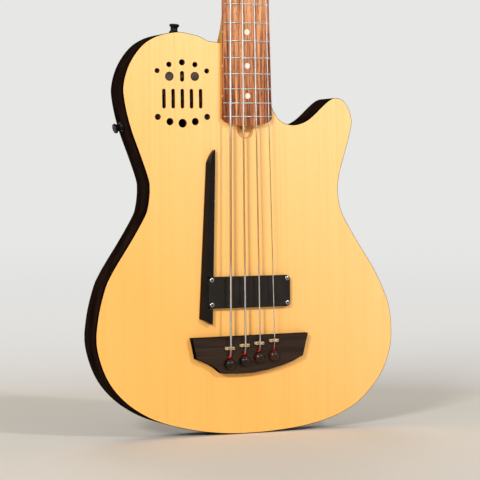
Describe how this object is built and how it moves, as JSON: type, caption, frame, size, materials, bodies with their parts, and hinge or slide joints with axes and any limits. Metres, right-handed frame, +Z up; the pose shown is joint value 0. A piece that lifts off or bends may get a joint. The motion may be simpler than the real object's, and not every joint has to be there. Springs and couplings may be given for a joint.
{
  "type": "acoustic bass guitar",
  "caption": "Thin-bodied electro-acoustic bass with one cutaway, a fretted bolt-on neck, a slotted pin bridge, slider controls under the sound holes and geared tuners.",
  "frame": {"origin": "middle of the bounding box at the level of the tail, the body's lowest point", "axes": "+Z up along the neck towards the head, -Y out of the soundboard towards the player's audience side, +X towards the treble side"},
  "size_m": [0.3496, 0.0622, 1.1379],
  "materials": {
    "spruce": "clear satin lacquer over straight-grained softwood",
    "dark_wood": "dark brown satin stain",
    "maple": "amber satin lacquer",
    "rosewood": "oiled open-pored hardwood with nickel silver frets",
    "ebony": "dark oiled hardwood",
    "black_gloss": "polished black",
    "black_satin": "satin black",
    "grey_plastic": "matt grey",
    "bone": "polished bone white",
    "chrome": "polished chrome",
    "steel": "round-wound steel",
    "brass": "turned brass"
  },
  "bodies": {
    "instrument": {"soundboard": "spruce", "body_shell": "dark_wood", "edge_binding": "black_gloss", "strap_button_top": "black_gloss", "strap_button_side": "black_gloss", "thumb_rest": "black_gloss", "bridge": "ebony", "pickup": "black_satin", "preamp": "black_satin", "battery_box": "black_satin", "neck": "maple", "fingerboard": "rosewood", "nut": "bone", "truss_rod": "steel", "output_jack": "chrome", "battery": "grey_plastic", "neck_bolt_1": "chrome", "neck_bolt_2": "chrome", "neck_bolt_3": "chrome", "neck_bolt_4": "chrome", "saddle_e": "bone", "bridge_pin_e": "black_gloss", "string_e": "steel", "tuner_gearbox_e": "chrome", "tuner_bushing_e": "chrome", "saddle_a": "bone", "bridge_pin_a": "black_gloss", "string_a": "steel", "tuner_gearbox_a": "chrome", "tuner_bushing_a": "chrome", "saddle_d": "bone", "bridge_pin_d": "black_gloss", "string_d": "steel", "tuner_gearbox_d": "chrome", "tuner_bushing_d": "chrome", "saddle_g": "bone", "bridge_pin_g": "black_gloss", "string_g": "steel", "tuner_gearbox_g": "chrome", "tuner_bushing_g": "chrome"},
    "slider_1": {"slider_1": "grey_plastic"},
    "slider_2": {"slider_2": "grey_plastic"},
    "slider_3": {"slider_3": "grey_plastic"},
    "slider_4": {"slider_4": "grey_plastic"},
    "slider_5": {"slider_5": "grey_plastic"},
    "button_left": {"button_left": "grey_plastic"},
    "button_right": {"button_right": "grey_plastic"},
    "mode_switch": {"mode_switch": "grey_plastic"},
    "battery_door": {"battery_door": "black_satin"},
    "truss_rod_nut": {"truss_rod_nut": "brass"},
    "tuner_key_e": {"tuner_key_e": "chrome"},
    "tuner_post_e": {"tuner_post_e": "chrome"},
    "tuner_key_a": {"tuner_key_a": "chrome"},
    "tuner_post_a": {"tuner_post_a": "chrome"},
    "tuner_key_d": {"tuner_key_d": "chrome"},
    "tuner_post_d": {"tuner_post_d": "chrome"},
    "tuner_key_g": {"tuner_key_g": "chrome"},
    "tuner_post_g": {"tuner_post_g": "chrome"}
  },
  "joints": [
    {"name": "slider_1_slide", "type": "slide", "parent": "instrument", "child": "slider_1", "axis": [0, 0, 1], "range_m": [-0.0142, 0]},
    {"name": "slider_2_slide", "type": "slide", "parent": "instrument", "child": "slider_2", "axis": [0, 0, 1], "range_m": [-0.0077, 0.0065]},
    {"name": "slider_3_slide", "type": "slide", "parent": "instrument", "child": "slider_3", "axis": [0, 0, 1], "range_m": [-0.008, 0.0062]},
    {"name": "slider_4_slide", "type": "slide", "parent": "instrument", "child": "slider_4", "axis": [0, 0, 1], "range_m": [-0.0058, 0.0084]},
    {"name": "slider_5_slide", "type": "slide", "parent": "instrument", "child": "slider_5", "axis": [0, 0, 1], "range_m": [-0.0058, 0.0084]},
    {"name": "button_left_press", "type": "slide", "parent": "instrument", "child": "button_left", "axis": [0, 1, 0], "range_m": [0, 0.0012], "stiffness_N_per_m": 400, "springref_m": -0.0004},
    {"name": "button_right_press", "type": "slide", "parent": "instrument", "child": "button_right", "axis": [0, 1, 0], "range_m": [0, 0.0012], "stiffness_N_per_m": 400, "springref_m": -0.0004},
    {"name": "mode_switch_slide", "type": "slide", "parent": "instrument", "child": "mode_switch", "axis": [0, 0, 1], "range_m": [-0.0028, 0.0028]},
    {"name": "tuner_key_e_turn", "type": "hinge", "parent": "instrument", "child": "tuner_key_e", "pos_m": [-0.02684, 0.01229, 1.00207], "axis": [1, 0, 0], "continuous": true},
    {"name": "tuner_post_e_turn", "type": "hinge", "parent": "instrument", "child": "tuner_post_e", "pos_m": [-0.02684, -0.00696, 1.01409], "axis": [0, 0.9848, -0.1736], "continuous": true},
    {"name": "tuner_key_a_turn", "type": "hinge", "parent": "instrument", "child": "tuner_key_a", "pos_m": [-0.02384, 0.02271, 1.06117], "axis": [1, 0, 0], "continuous": true},
    {"name": "tuner_post_a_turn", "type": "hinge", "parent": "instrument", "child": "tuner_post_a", "pos_m": [-0.02384, 0.00346, 1.07319], "axis": [0, 0.9848, -0.1736], "continuous": true},
    {"name": "tuner_key_d_turn", "type": "hinge", "parent": "instrument", "child": "tuner_key_d", "pos_m": [0.02116, 0.02271, 1.06117], "axis": [1, 0, 0], "continuous": true},
    {"name": "tuner_post_d_turn", "type": "hinge", "parent": "instrument", "child": "tuner_post_d", "pos_m": [0.02116, 0.00346, 1.07319], "axis": [0, 0.9848, -0.1736], "continuous": true},
    {"name": "tuner_key_g_turn", "type": "hinge", "parent": "instrument", "child": "tuner_key_g", "pos_m": [0.02416, 0.01229, 1.00207], "axis": [1, 0, 0], "continuous": true},
    {"name": "tuner_post_g_turn", "type": "hinge", "parent": "instrument", "child": "tuner_post_g", "pos_m": [0.02416, -0.00696, 1.01409], "axis": [0, 0.9848, -0.1736], "continuous": true},
    {"name": "battery_door_hinge", "type": "hinge", "parent": "instrument", "child": "battery_door", "pos_m": [-0.09334, 0.02995, 0.13365], "axis": [-1, 0, 0], "range_deg": [0, 95]},
    {"name": "truss_rod_nut_turn", "type": "hinge", "parent": "instrument", "child": "truss_rod_nut", "pos_m": [-0.00134, -0.01045, 0.3322], "axis": [0, 0, 1], "range_deg": [-180, 180]}
  ],
  "couplings": [
    {"joint": "tuner_post_e_turn", "follows": "tuner_key_e_turn", "ratio": 0.05},
    {"joint": "tuner_post_a_turn", "follows": "tuner_key_a_turn", "ratio": 0.05},
    {"joint": "tuner_post_d_turn", "follows": "tuner_key_d_turn", "ratio": 0.05},
    {"joint": "tuner_post_g_turn", "follows": "tuner_key_g_turn", "ratio": 0.05}
  ]
}
